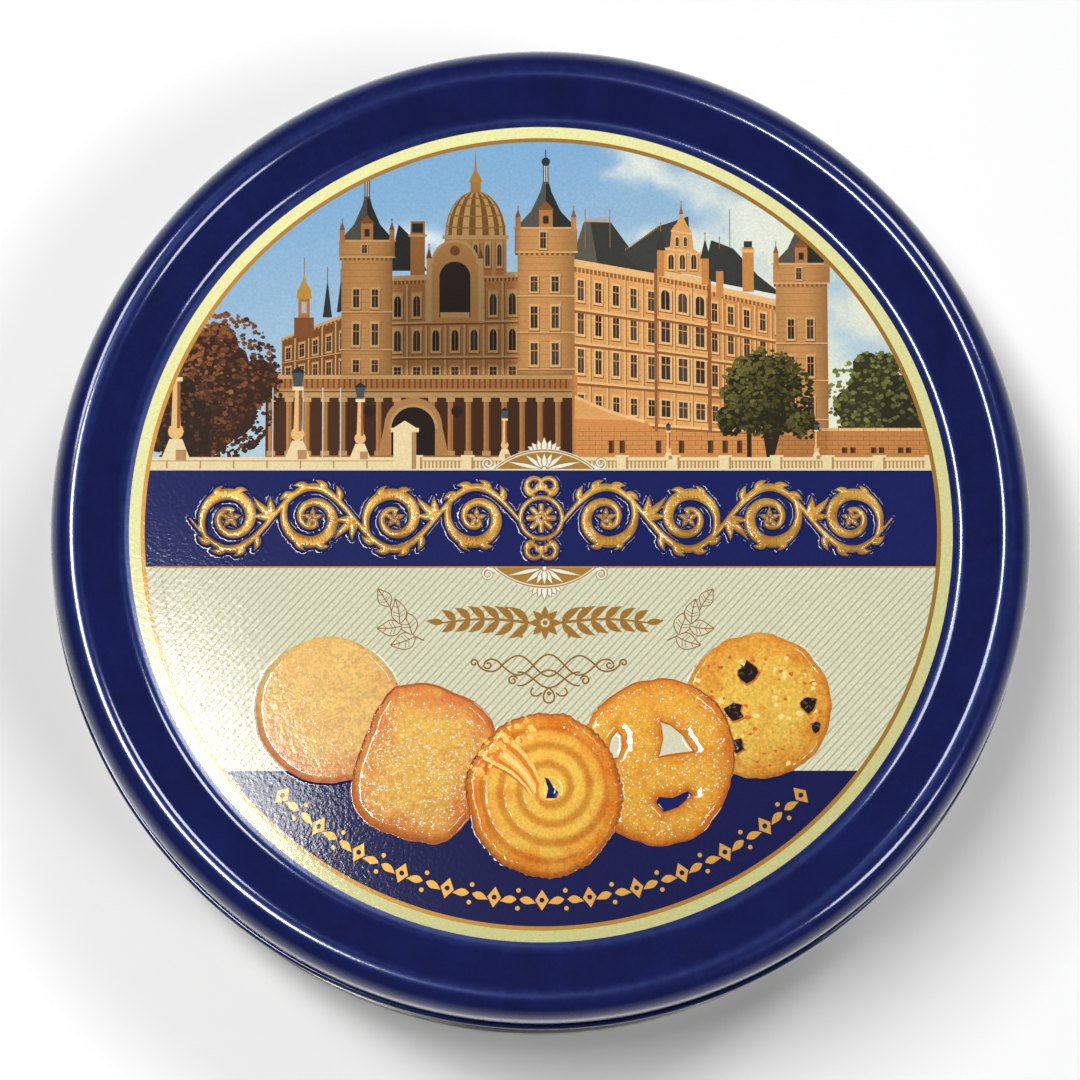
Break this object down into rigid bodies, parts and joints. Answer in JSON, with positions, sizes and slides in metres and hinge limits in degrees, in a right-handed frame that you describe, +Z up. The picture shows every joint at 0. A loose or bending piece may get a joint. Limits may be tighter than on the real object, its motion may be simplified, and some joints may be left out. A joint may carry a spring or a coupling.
{
  "type": "cookie tin",
  "caption": "Round printed tinplate tin with a slip-on lid, whose panel is sunk below a raised rim, a curled mouth and a folded base seam.",
  "frame": {"origin": "centre of the circle that the base seam stands on, in the foot plane", "axes": "+Z up through the middle of the lid, +X to the right of the lid's picture, +Y to the top of the picture and to the wall's lap seam at the back"},
  "size_m": [0.19, 0.19, 0.062],
  "materials": {
    "printed_tinplate": "glossy navy lacquer over printed inks",
    "printed_wall": "glossy navy lacquer",
    "plain_tinplate": "bright tinplate with a clear lacquer"
  },
  "bodies": {
    "tin": {"wall": "printed_wall", "base": "plain_tinplate"},
    "lid": {"lid": "printed_tinplate"}
  },
  "joints": [
    {"name": "lid_lift", "type": "slide", "parent": "tin", "child": "lid", "axis": [0, 0, 1], "range_m": [0, 0.12]}
  ]
}
